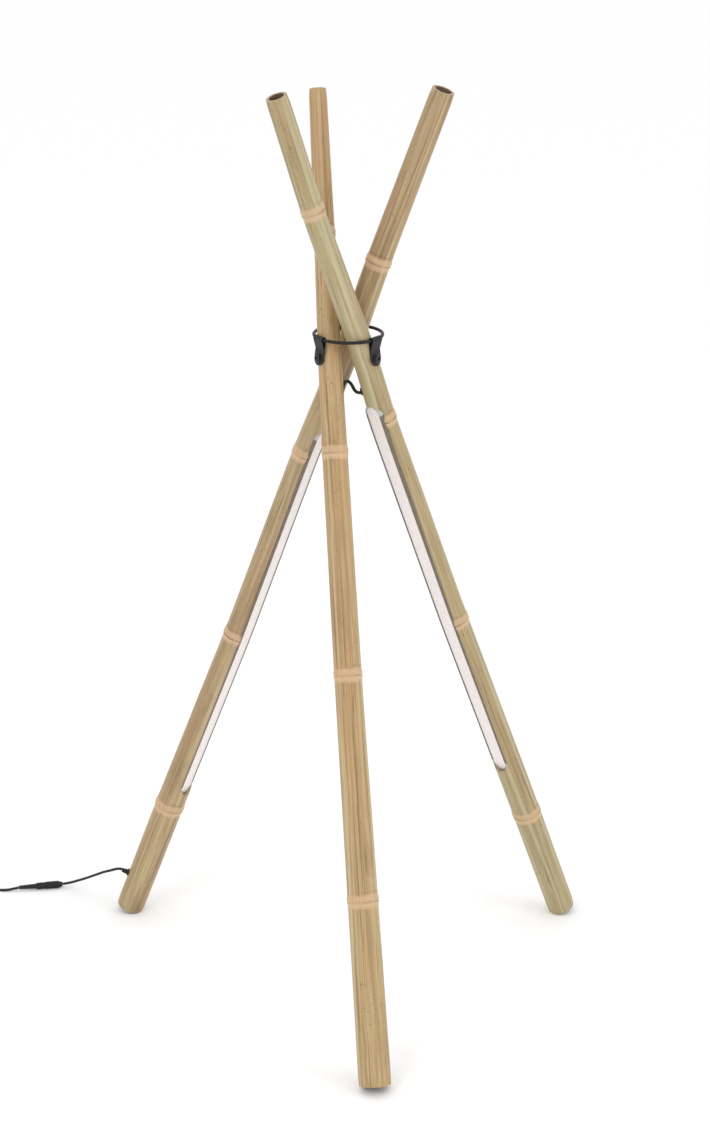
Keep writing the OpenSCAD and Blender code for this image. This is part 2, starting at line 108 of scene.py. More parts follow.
def make_camera():
    """Makes the camera, and returns the direction that is to the right in its picture."""
    axis = centre("collar_ring")
    eye = np.array([axis[0] + CAM_D * math.sin(CAM_AZ), axis[1] - CAM_D * math.cos(CAM_AZ), CAM_H])
    yaw = CAM_AZ + CAM_PAN
    ahead = np.array(
        [-math.sin(yaw) * math.cos(CAM_TILT), math.cos(yaw) * math.cos(CAM_TILT), -math.sin(CAM_TILT)]
    )
    right = unit(np.cross(ahead, (0, 0, 1)))
    up = np.cross(right, ahead)
    c, s = math.cos(CAM_ROLL), math.sin(CAM_ROLL)
    right, up = right * c + up * s, up * c - right * s
    data = bpy.data.cameras.new("camera")
    data.sensor_fit = "VERTICAL"
    data.sensor_height = 24
    data.lens = 54.43
    data.clip_start = 0.05
    data.clip_end = 50
    cam = bpy.data.objects.new("camera", data)
    bpy.context.scene.collection.objects.link(cam)
    placed = np.eye(4)
    placed[:3, :] = np.stack([right, up, -ahead, eye * MM], axis=1)
    cam.matrix_world = Matrix(placed.tolist())
    bpy.context.scene.camera = cam
    return right


BOW_DIRECTION = make_camera()


# Meshes


def make_object(name, verts, faces, smooth_angle=35, scale=MM):
    mesh = bpy.data.meshes.new(name)
    mesh.from_pydata([tuple(float(x) * scale for x in v) for v in verts], [], [tuple(f) for f in faces])
    mesh.validate()
    obj = bpy.data.objects.new(name, mesh)
    bpy.context.scene.collection.objects.link(obj)
    shade(obj, smooth_angle)
    return obj


def shade(obj, angle=35):
    mesh = obj.data
    mesh.polygons.foreach_set("use_smooth", [True] * len(mesh.polygons))
    mesh.set_sharp_from_angle(angle=math.radians(angle))


def smooth_route(points, step=1.5):
    """Natural cubic spline through the points, cut into equal steps."""
    p = np.array(points, float)
    t = np.concatenate([[0], np.cumsum(np.linalg.norm(np.diff(p, axis=0), axis=1))])
    h = np.diff(t)
    n = len(p)
    a = np.zeros((n, n))
    b = np.zeros((n, 3))
    a[0, 0] = a[-1, -1] = 1
    for i in range(1, n - 1):
        a[i, i - 1], a[i, i], a[i, i + 1] = h[i - 1], 2 * (h[i - 1] + h[i]), h[i]
        b[i] = 6 * ((p[i + 1] - p[i]) / h[i] - (p[i] - p[i - 1]) / h[i - 1])
    m = np.linalg.solve(a, b)

    def at(x):
        i = min(max(np.searchsorted(t, x) - 1, 0), n - 2)
        u, v = x - t[i], t[i + 1] - x
        return (
            (m[i] * v**3 + m[i + 1] * u**3) / (6 * h[i])
            + (p[i] / h[i] - m[i] * h[i] / 6) * v
            + (p[i + 1] / h[i] - m[i + 1] * h[i] / 6) * u
        )

    count = max(int(t[-1] / step), 8)
    return np.array([at(x) for x in np.linspace(0, t[-1], count + 1)])


def wall_faces(rings, sides, closed=False):
    """Faces that join each ring of vertices to the next; a closed set joins its last ring to its first."""
    faces = []
    for i in range(rings if closed else rings - 1):
        here, after = i * sides, (i + 1) % rings * sides
        for j in range(sides):
            l = (j + 1) % sides
            faces.append((here + j, here + l, after + l, after + j))
    return faces


def end_faces(rings, sides):
    return [tuple(range(sides - 1, -1, -1)), tuple((rings - 1) * sides + j for j in range(sides))]


def tube(name, path, radius, sides=16):
    """A tube of even radius along the path, closed at both ends."""
    p = np.array(path, float)
    n = len(p)
    along = np.gradient(p, axis=0)
    along = along / np.linalg.norm(along, axis=1)[:, None]
    side = np.cross(along[0], (0.31, 0.17, 0.93))
    verts = []
    for i in range(n):
        side = unit(side - along[i] * (side @ along[i]))
        other = np.cross(along[i], side)
        for j in range(sides):
            q = 2 * math.pi * j / sides
            verts.append(p[i] + radius * (math.cos(q) * side + math.sin(q) * other))
    return make_object(name, verts, wall_faces(n, sides) + end_faces(n, sides))


# Cords: the routes repeat part.scad's points

LEAD_R = 2
JUMPER_R = 2.25
LAMP_LEAD_ROUTE = [
    (-333, 266.1, 70), (-337.6, 266.6, 71.5), (-345, 269, 71), (-353, 274.5, 66.5), (-362, 283.5, 60),
    (-371, 294, 52), (-380, 305.5, 43), (-388.5, 317.5, 34), (-396.3, 329.3, 25.5), (-403.7, 339.6, 18.3),
    (-411, 347.6, 12.2), (-419.2, 353.3, 7.6), (-427.8, 355, 5.6),
]
ADAPTER_LEAD_IN = [
    (-495.7, 350.3, 5.4), (-504, 349.9, 4), (-512, 350.2, 2.6), (-520, 351.2, 2), (-530, 352.6, 2),
    (-541, 353.7, 2), (-549, 354.2, 2), (-557, 354.4, 2),
]
ADAPTER_LEAD_OUT = [
    (-570, 356, 9), (-580, 356, 7), (-590, 356.4, 4.4), (-601, 357.2, 4.4), (-611, 358, 6.7),
    (-619.7, 358, 7),
]
JUMPER_LEFT_FRONT_ROUTE = [
    (-40.2, 104.9, 872.7), (-42.6, 100.9, 872.7), (-45.3, 96.2, 871.3), (-47.7, 92.7, 867),
    (-49.2, 91.2, 860),
    (-49.7, 92, 851.5), (-49.6, 94.2, 843), (-49.5, 96.8, 834.5), (-49.5, 98.2, 826), (-49.5, 95.7, 818),
    (-49.5, 89, 814.7), (-49.5, 82.3, 818), (-49.5, 79.5, 825.5), (-49.6, 79.6, 834), (-50, 80.2, 842),
    (-50.2, 77.7, 849.7), (-49.6, 72.6, 855.4), (-48.1, 68, 857.3),
]
JUMPER_FRONT_RIGHT_ROUTE = [
    (-35.9, 73.3, 871.6), (-34.4, 77.2, 870.1), (-33.1, 81.4, 867.3), (-32.8, 84.6, 861.5),
    (-34, 86, 853.5),
    (-35.6, 86.2, 845.5), (-36, 86.5, 837.5), (-34, 88.3, 830.3), (-29.5, 93, 827.3), (-25, 97.7, 830.3),
    (-23, 99.8, 837.5), (-22.8, 100, 848), (-22.8, 99.5, 858), (-22.5, 97.8, 867.5), (-21, 94.5, 875.5),
    (-17.8, 89.3, 880.2), (-14, 83.8, 879.3), (-10.8, 79.3, 874.5), (-7.4, 76.2, 869.6), (-3.2, 75, 867.9),
    (0.6, 74.6, 868.9),
]
COIL_AT = (-564, 382.4)
# Radius and height of each turn of the coil, from the floor up
COIL_TURNS = [
    (28, 2), (24, 2), (20, 2), (16, 2), (18, 5.5), (22, 5.5), (26, 5.5), (20, 9), (24, 9),
]
TURN_STEPS = 36


def coil_path():
    """Clockwise from above, entered at its -Y side; each turn steps to the next in its last eighth."""
    points = []
    last = len(COIL_TURNS) - 1
    for i, (r, z) in enumerate(COIL_TURNS):
        next_r, next_z = COIL_TURNS[min(i + 1, last)]
        for j in range(TURN_STEPS):
            u = j / TURN_STEPS
            rise = min(max((u - 0.76) / 0.12, 0), 1)
            move = min(max((u - 0.86) / 0.14, 0), 1)
            rise, move = rise * rise * (3 - 2 * rise), move * move * (3 - 2 * move)
            hump = 0.35 * (z > 3) * math.sin(math.pi * move)
            a = -math.pi / 2 - 2 * math.pi * u
            radius = r + (next_r - r) * move
            points.append((
                COIL_AT[0] + radius * math.cos(a),
                COIL_AT[1] + radius * math.sin(a),
                z + (next_z - z) * rise + hump,
            ))
    return points[1:]


def add_lamp_lead():
    path = smooth_route(LAMP_LEAD_ROUTE)
    lead = tube("lamp_lead_cable", path, LEAD_R)
    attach(lead, "pole_left")
    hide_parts("lamp_lead")
    return lead


def add_adapter_lead():
    # The coil's first and last few points give way to the straight lengths that meet it
    points = list(smooth_route(ADAPTER_LEAD_IN, 4)) + coil_path()[1:-3]
    points += list(smooth_route(ADAPTER_LEAD_OUT, 4))
    path = smooth_route(points, 2)
    path[:, 2] = np.maximum(path[:, 2], LEAD_R)
    lead = tube("adapter_lead_cable", path, LEAD_R, sides=12)
    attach(lead, "pole_left")
    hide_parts("adapter_lead", "cord_coil")
    return lead


def add_jumper(name, route, cad_node, chain):
    """One jumper cable as four lengths, one for each of the four joints that it passes."""
    path = smooth_route(route, 1)
    cuts = np.linspace(0, len(path) - 1, len(chain)).round().astype(int)
    made = []
    for i in range(len(chain) - 1):
        part = path[cuts[i] : cuts[i + 1] + 1]
        piece = tube(f"{name}_{i + 1}", part, JUMPER_R)
        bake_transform(piece)
        if i == 1:
            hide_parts(cad_node)
        made.append(piece)
    return made


lamp_lead = add_lamp_lead()
adapter_lead = add_adapter_lead()
jumpers = add_jumper(
    "jumper_left_front", JUMPER_LEFT_FRONT_ROUTE, "jumper_left_front",
    ("pole_left", "strap_left", "collar", "strap_front", "pole_front"),
) + add_jumper(
    "jumper_front_right", JUMPER_FRONT_RIGHT_ROUTE, "jumper_front_right",
    ("pole_front", "strap_front", "collar", "strap_right", "pole_right"),
)


# Each pole's own frame, from its joints


def culm_r(k, s):
    return float(np.interp(s, (0, *POLE_NODES[k], POLE_LENGTH[k]), POLE_RADII[k]))


def pole_frame(k):
    """The pole's own directions, its foot, and how far up it the pivot is, worked out from its joints."""
    fold, swing = joints["fold_" + k], joints["swing_" + k]
    out = -np.array(fold["axis"], float)
    side = np.array(swing["axis"], float)
    down = -np.cross(out, side)
    lean = math.radians(LEAN)
    along = -side * math.sin(lean) - down * math.cos(lean)
    pivot = np.array(fold["pos_m"], float) / MM - out * (culm_r(k, NOMINAL_PIVOT_S) + STRAP_STACK)
    tilt = math.acos(along[2])
    s = (pivot[2] - POLE_RADII[k][0] * math.sin(tilt)) / math.cos(tilt)
    return dict(x=out, y=np.cross(along, out), z=along, foot=pivot - s * along, pivot_s=s)


FRAMES = {k: pole_frame(k) for k in POLES}


def bow(k, s):
    """How far the pole's centre line is off straight at the distance s up it."""
    n = POLE_NODES[k]
    keys = (0, n[0], n[1], n[2], FRAMES[k]["pivot_s"], n[3], POLE_LENGTH[k])
    # Straight between the nodes, eased over this much each side of them
    spread = np.linspace(-BOW_EASE, BOW_EASE, 7)
    return np.mean([np.interp(np.asarray(s) + d, keys, BOW[k]) for d in spread], axis=0)


def to_world(k, local):
    f = FRAMES[k]
    p = np.asarray(local, float)
    centre_line = bow(k, p[:, 2]) - bow(k, f["pivot_s"])
    return (
        f["foot"]
        + p[:, :1] * f["x"]
        + p[:, 1:2] * f["y"]
        + p[:, 2:3] * f["z"]
        + centre_line[:, None] * BOW_DIRECTION
    )


def to_local(k, world):
    f = FRAMES[k]
    v = np.asarray(world, float) - f["foot"]
    return np.stack([v @ f["x"], v @ f["y"], v @ f["z"]], axis=1)


def get_co(mesh):
    co = np.empty(len(mesh.vertices) * 3)
    mesh.vertices.foreach_get("co", co)
    return co.reshape(-1, 3)


def add_attribute(mesh, name, values):
    values = np.asarray(values, float)
    kind = "FLOAT" if values.ndim == 1 else "FLOAT_VECTOR"
    attribute = mesh.attributes.new(name, kind, "POINT")
    field = "value" if values.ndim == 1 else "vector"
    attribute.data.foreach_set(field, values.astype(np.float32).ravel())


# Bamboo culms

# Height from the node's line, and how far the skin stands out there
SWELL = (
    (-14, 0), (-9, 0.1), (-5, 0.5), (-3, 1.0), (-2, 1.2), (-1.2, 0.75), (-0.6, 0.45), (0.2, 0.6), (1.2, 1.2),
    (2.6, 1.3), (4.2, 1.05), (6.5, 0.45), (9, 0.12), (14, 0),
)
SIDES = 72
RING_STEP = 11
FINE_REACH = 16
FINE_HEIGHTS = np.concatenate([np.arange(-15, -4, 1.5), np.arange(-4, 5, 0.6), np.arange(5, 16, 1.5)])
SEED = {"front": 3.1, "right": 17.7, "left": 31.3}
END_ROUND = 0.7
HOLLOW_EDGE = 1.2
PARTITION_HALF = 6


def culm_heights(k):
    """Heights of a culm's rings: coarse between the nodes, and fine across each."""
    heights = set(np.linspace(0, POLE_LENGTH[k], int(POLE_LENGTH[k] / RING_STEP)).round(2))
    for n in POLE_NODES[k]:
        heights = {h for h in heights if abs(h - n) > FINE_REACH}
        heights |= set(np.round(n + FINE_HEIGHTS, 2))
    return sorted(heights)


def culm_surface(k, s, a):
    """Radius of the culm's skin: taper, node swelling, and the slight unevenness of a grown stem."""
    r = culm_r(k, s)
    seed = SEED[k]
    near = min(POLE_NODES[k], key=lambda n: abs(n - s))
    wobble = 0.7 * noise.noise(Vector((math.cos(a) * 1.3 + seed, math.sin(a) * 1.3, near * 0.31)))
    lift = np.interp(s - near - wobble, [p[0] for p in SWELL], [p[1] for p in SWELL])
    ease = min(1, abs(s - near) / 30)
    wave = 0.22 * noise.noise(Vector((math.cos(a) * 0.8, math.sin(a) * 0.8 + seed, s * 0.006))) * ease
    flute = 0.1 * noise.noise(Vector((math.cos(a) * 4, math.sin(a) * 4 + seed, s * 0.002))) * ease
    return r - 0.12 + lift + wave + flute


def culm_mesh(k):
    """One closed mesh, in the pole's frame: the skin, and the open hollows at the top and the foot."""
    length = POLE_LENGTH[k]
    low, high = POLE_NODES[k][0] - PARTITION_HALF, POLE_NODES[k][3] + PARTITION_HALF

    def hollow_ring(s, inset):
        return [(culm_r(k, s) - inset, s)] * SIDES

    def skin_ring(s):
        edge = min(s, length - s)
        ease = END_ROUND * (1 - math.sqrt(1 - (1 - edge) ** 2)) if edge < 1 else 0
        return [(culm_surface(k, s, 2 * math.pi * j / SIDES) - ease, s) for j in range(SIDES)]

    # Up the foot's hollow in reverse, up the skin, then down the hollow from the top
    foot = [
        (low, WALL + 4), (low - 4, WALL + 1), (low - 30, WALL), (2, WALL + 0.4), (0, WALL), (0, HOLLOW_EDGE),
    ]
    top = [
        (length, HOLLOW_EDGE), (length, WALL), (length - 2, WALL + 0.4), (high + 30, WALL),
        (high + 4, WALL + 1), (high, WALL + 4),
    ]
    rings = [hollow_ring(*p) for p in foot]
    rings += [skin_ring(s) for s in culm_heights(k)]
    rings += [hollow_ring(*p) for p in top]
    verts = []
    for ring in rings:
        for j, (r, s) in enumerate(ring):
            a = 2 * math.pi * j / SIDES
            verts.append((r * math.cos(a), r * math.sin(a), s))
    faces = wall_faces(len(rings), SIDES) + end_faces(len(rings), SIDES)
    return make_object("culm_" + k + "_bamboo", verts, faces, scale=1)


def stadium(w, l, steps=20, rows=31):
    """Outline of a rounded slot, as (y, z) about its middle, from the upper arc's right side round."""
    r, straight = w / 2, (l - w) / 2
    points = []
    for i in range(steps + 1):
        a = math.pi * i / steps
        points.append((r * math.cos(a), straight + r * math.sin(a)))
    points += [(-r, straight - 2 * straight * i / rows) for i in range(1, rows)]
    for i in range(steps + 1):
        a = math.pi + math.pi * i / steps
        points.append((r * math.cos(a), -straight + r * math.sin(a)))
    points += [(r, -straight + 2 * straight * i / rows) for i in range(1, rows)]
    return points


def strips(base, n, steps=20):
    """Faces across a rounded slot's outline of n points, between its mirrored points."""
    faces = []
    for i in range(n // 2):
        left, right = steps // 2 + i, (steps // 2 - i) % n
        face = (base + left, base + left + 1, base + (right - 1) % n, base + right)
        faces.append(tuple(dict.fromkeys(face)))
    return faces


def slot_cutter(k):
    """The light bar's seat, reaching from its floor out through the skin."""
    outline = stadium(BAR_W + 2 * BAR_CLEAR, BAR_L + 2 * BAR_CLEAR)
    return bar_prism("cutter", k, outline, BAR_SEAT, SEAT_CUT_TO)


def bar_to_pole(k, x, y, z):
    """From the bar's own x out, y across and z along from its middle, to the pole's frame."""
    a = math.radians(BAR_ANGLE[k])
    return (
        x * math.cos(a) - y * math.sin(a),
        x * math.sin(a) + y * math.cos(a),
        z + BAR_START[k] + BAR_L / 2,
    )


def bar_prism(name, k, outline, x0, x1):
    n = len(outline)
    verts = [bar_to_pole(k, x, y, z) for x in (x0, x1) for y, z in outline]
    faces = [(j, (j + 1) % n, n + (j + 1) % n, n + j) for j in range(n)]
    faces += [tuple(range(n - 1, -1, -1)), tuple(n + j for j in range(n))]
    return make_object(name, verts, faces, scale=1)


def cut(obj, cutter):
    """Takes the cutter out of the object, and removes the cutter."""
    for o in (obj, cutter):
        bm = bmesh.new()
        bm.from_mesh(o.data)
        bmesh.ops.recalc_face_normals(bm, faces=bm.faces)
        bm.to_mesh(o.data)
        bm.free()
    modifier = obj.modifiers.new("cut", "BOOLEAN")
    modifier.operation = "DIFFERENCE"
    modifier.solver = "EXACT"
    modifier.object = cutter
    graph = bpy.context.evaluated_depsgraph_get()
    mesh = bpy.data.meshes.new_from_object(obj.evaluated_get(graph))
    obj.modifiers.clear()
    old = obj.data
    obj.data = mesh
    bpy.data.meshes.remove(old)
    gone = cutter.data
    bpy.data.objects.remove(cutter)
    bpy.data.meshes.remove(gone)


def add_culm(k):
    culm = culm_mesh(k)
    cut(culm, slot_cutter(k))
    mesh = culm.data
    local = get_co(mesh)
    s = local[:, 2]
    n = np.array(POLE_NODES[k], float)
    gap = s[:, None] - n[None]
    near = gap[np.arange(len(s)), np.abs(gap).argmin(axis=1)]
    radius = np.linalg.norm(local[:, :2], axis=1)
    skin = np.array([culm_r(k, min(max(x, 0), POLE_LENGTH[k])) for x in s])
    add_attribute(mesh, "local", local * MM)
    add_attribute(mesh, "band", near / 10)
    add_attribute(mesh, "close", np.clip(1 - np.abs(near) / 60, 0, 1))
    add_attribute(mesh, "tone", ((np.searchsorted(n, s) * 37) % 11) / 10)
    add_attribute(mesh, "depth", (skin - radius) / WALL)
    world = to_world(k, local) * MM
    mesh.vertices.foreach_set("co", world.ravel())
    mesh.update()
    shade(culm, 40)
    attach(culm, "pole_" + k)
    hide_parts("culm_" + k)
    return culm


culms = {k: add_culm(k) for k in POLES}


# Light bars, following the poles' crookedness


def bar_ring(k, w, l, profile):
    """A closed profile of (inset, height) pairs run round the rounded slot's outline."""
    rows = [stadium(w - 2 * inset, l - 2 * inset) for inset, _ in profile]
    verts = [bar_to_pole(k, x, y, z) for (_, x), row in zip(profile, rows) for y, z in row]
    return verts, wall_faces(len(profile), len(rows[0]), closed=True)


def trim(bm, height, towards):
    """Cuts off what is above the height (towards 1) or below it (towards -1), and closes the cut."""
    made = bmesh.ops.bisect_plane(
        bm,
        geom=bm.verts[:] + bm.edges[:] + bm.faces[:],
        plane_co=(0, 0, height),
        plane_no=(0, 0, towards),
        clear_outer=True,
    )
    edges = [e for e in made["geom_cut"] if isinstance(e, bmesh.types.BMEdge)]
    bmesh.ops.holes_fill(bm, edges=edges)


def bar_piece(name, k, verts, faces, node, slot_name, part=None):
    """A piece of the bar, whole or cut to its middle or its two ends, bent to follow its pole."""
    obj = make_object(name, verts, faces, scale=1)
    bm = bmesh.new()
    bm.from_mesh(obj.data)
    bmesh.ops.recalc_face_normals(bm, faces=bm.faces)
    half = (BAR_L - BAR_W) / 2
    middle = BAR_START[k] + BAR_L / 2
    if part == "middle":
        for sign in (-1, 1):
            trim(bm, middle + sign * (half - SPLIT_GAP), sign)
    if part == "ends":
        low = bm.copy()
        trim(bm, middle + half + SPLIT_GAP, -1)
        trim(low, middle - half - SPLIT_GAP, 1)
        spare = bpy.data.meshes.new("spare")
        low.to_mesh(spare)
        low.free()
        bm.from_mesh(spare)
        bpy.data.meshes.remove(spare)
    bm.to_mesh(obj.data)
    bm.free()
    local = get_co(obj.data)
    add_attribute(obj.data, "local", local * MM)
    obj.data.vertices.foreach_set("co", (to_world(k, local) * MM).ravel())
    obj.data.update()
    shade(obj)
    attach(obj, "pole_" + k)
    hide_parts(node)
    return obj


FACE = BAR_SEAT + BAR_H
LIP_W, LIP_H = 3, 1.2
CHANNEL_WALL, CHANNEL_BASE, CHANNEL_INNER = 1.3, 1.5, 6
SPLIT_GAP = 0.02
# Inset from the bar's outline and distance from the pole's axis, round the channel's section
CHANNEL_PROFILE = (
    (0, BAR_SEAT), (0, FACE - 0.4), (0.12, FACE - 0.12), (0.4, FACE),
    (LIP_W - 0.3, FACE), (LIP_W - 0.08, FACE - 0.08), (LIP_W, FACE - 0.3), (LIP_W, FACE - LIP_H),
    (CHANNEL_WALL, FACE - LIP_H), (CHANNEL_WALL, BAR_SEAT + CHANNEL_BASE),
    (CHANNEL_INNER, BAR_SEAT + CHANNEL_BASE), (CHANNEL_INNER, BAR_SEAT),
)
COVER_CLEAR, COVER_SUNK = 0.1, 0.3
# Inset and depth below the cover's face, from its back to its face
COVER_PROFILE = ((0.6, 2.2), (0, 2), (0, 0.35), (0.1, 0.12), (0.35, 0))


def cover_mesh(k):
    """A rounded-edged window between the lips, closed by strips across it."""
    w, l = (size - 2 * (LIP_W + COVER_CLEAR) for size in (BAR_W, BAR_L))
    verts = []
    for inset, depth in COVER_PROFILE:
        outline = stadium(w - 2 * inset, l - 2 * inset)
        verts += [bar_to_pole(k, FACE - COVER_SUNK - depth, y, z) for y, z in outline]
    rings = len(COVER_PROFILE)
    n = len(outline)
    return verts, wall_faces(rings, n) + strips(0, n) + strips((rings - 1) * n, n)


def add_bar(k):
    rail = bar_ring(k, BAR_W, BAR_L, CHANNEL_PROFILE)
    made = {}
    made["channel"] = bar_piece(
        f"light_channel_{k}_rail", k, *rail, "light_channel_" + k, "channel_aluminium", "middle"
    )
    made["caps"] = bar_piece(f"end_caps_{k}_moulded", k, *rail, "end_caps_" + k, "end_cap_plastic", "ends")
    made["cover"] = bar_piece(
        f"opal_cover_{k}_lens", k, *cover_mesh(k), "opal_cover_" + k, "opal_diffuser"
    )
    return made


bars = {k: add_bar(k) for k in POLES}


BEND_STEP = 30
DENSE_MESH = 6000


def bowed_copy(node, k):
    """The CAD solid, cut into short lengths along its pole and bent with it."""
    source = nodes[node]
    bm = bmesh.new()
    bm.from_mesh(source.data)
    bm.transform(source.matrix_world)
    f = FRAMES[k]
    local = to_local(k, np.array([v.co for v in bm.verts]) / MM)
    low, high = local[:, 2].min(), local[:, 2].max()
    count = int((high - low) / BEND_STEP)
    if len(bm.verts) < DENSE_MESH:
        for i in range(1, count):
            at = f["foot"] + f["z"] * (low + (high - low) * i / count)
            bmesh.ops.bisect_plane(
                bm,
                geom=bm.verts[:] + bm.edges[:] + bm.faces[:],
                plane_co=tuple(at * MM),
                plane_no=tuple(f["z"]),
            )
    mesh = bpy.data.meshes.new(node + "_bent")
    bm.to_mesh(mesh)
    bm.free()
    local = to_local(k, get_co(mesh) / MM)
    mesh.vertices.foreach_set("co", (to_world(k, local) * MM).ravel())
    obj = bpy.data.objects.new(node + "_bent", mesh)
    bpy.context.scene.collection.objects.link(obj)
    shade(obj, 30)
    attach(obj, "pole_" + k)
    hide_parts(node)
    return obj


WIRES = {"front": "inner_wires_front", "right": "inner_wire_right", "left": "inner_wires_left"}
GROMMETS = {"front": "cable_grommets_front", "right": "cable_grommet_right", "left": "cable_grommet_left"}
bent = {}
for k in POLES:
    for node in (f"led_board_{k}", f"led_chips_{k}", f"channel_screws_{k}", WIRES[k], GROMMETS[k]):
        bent[node] = bowed_copy(node, k)
bent["strain_relief"] = bowed_copy("strain_relief", "left")


# Materials


class Build:
    """Short calls for a node material."""

    def __init__(self, name, values):
        self.mat = bpy.data.materials.new(name)
        self.mat.use_nodes = True
        self.tree = self.mat.node_tree
        self.shader = self.tree.nodes["Principled BSDF"]
        for key, value in values.items():
            self.shader.inputs[key].default_value = value

    def add(self, kind, **settings):
        node = self.tree.nodes.new(kind)
        for key, value in settings.items():
            setattr(node, key, value)
        return node

    def link(self, a, b):
        self.tree.links.new(a, b)

    def attribute(self, name, vector=False):
        node = self.add("ShaderNodeAttribute", attribute_name=name)
        return node.outputs["Vector" if vector else "Fac"]

    def math(self, operation, a, b=0.0):
        node = self.add("ShaderNodeMath", operation=operation)
        for i, x in enumerate((a, b)):
            if isinstance(x, (int, float)):
                node.inputs[i].default_value = x
            else:
                self.link(x, node.inputs[i])
        return node.outputs[0]

    def scaled(self, vector, scale, offset=(0, 0, 0)):
        node = self.add("ShaderNodeMapping")
        self.link(vector, node.inputs["Vector"])
        node.inputs["Scale"].default_value = scale
        node.inputs["Location"].default_value = offset
        return node.outputs[0]

    def noise(self, vector, scale, detail=4, rough=0.55):
        node = self.add("ShaderNodeTexNoise")
        self.link(vector, node.inputs["Vector"])
        node.inputs["Scale"].default_value = scale
        node.inputs["Detail"].default_value = detail
        node.inputs["Roughness"].default_value = rough
        return node.outputs["Fac"]

    def ramp(self, fac, *stops):
        node = self.add("ShaderNodeValToRGB")
        self.link(fac, node.inputs["Fac"])
        ramp = node.color_ramp
        while len(ramp.elements) < len(stops):
            ramp.elements.new(0.5)
        for element, (at, value) in zip(ramp.elements, stops):
            element.position = at
            grey = isinstance(value, (int, float))
            element.color = (value, value, value, 1) if grey else (*value, 1)
        return node.outputs["Color"]

    def mix(self, fac, a, b):
        node = self.add("ShaderNodeMix", data_type="RGBA")
        for socket, x in ((node.inputs["Factor"], fac), (node.inputs["A"], a), (node.inputs["B"], b)):
            if isinstance(x, (int, float)):
                socket.default_value = x
            elif isinstance(x, tuple):
                socket.default_value = (*x, 1)
            else:
                self.link(x, socket)
        return node.outputs["Result"]

    def object_coords(self):
        return self.add("ShaderNodeTexCoord").outputs["Object"]

    def bump(self, height, strength, distance):
        node = self.add("ShaderNodeBump")
        node.inputs["Strength"].default_value = strength
        node.inputs["Distance"].default_value = distance
        self.link(height, node.inputs["Height"])
        self.link(node.outputs[0], self.shader.inputs["Normal"])

    def colour(self, socket):
        self.link(socket, self.shader.inputs["Base Color"])

    def rough(self, socket):
        self.link(socket, self.shader.inputs["Roughness"])


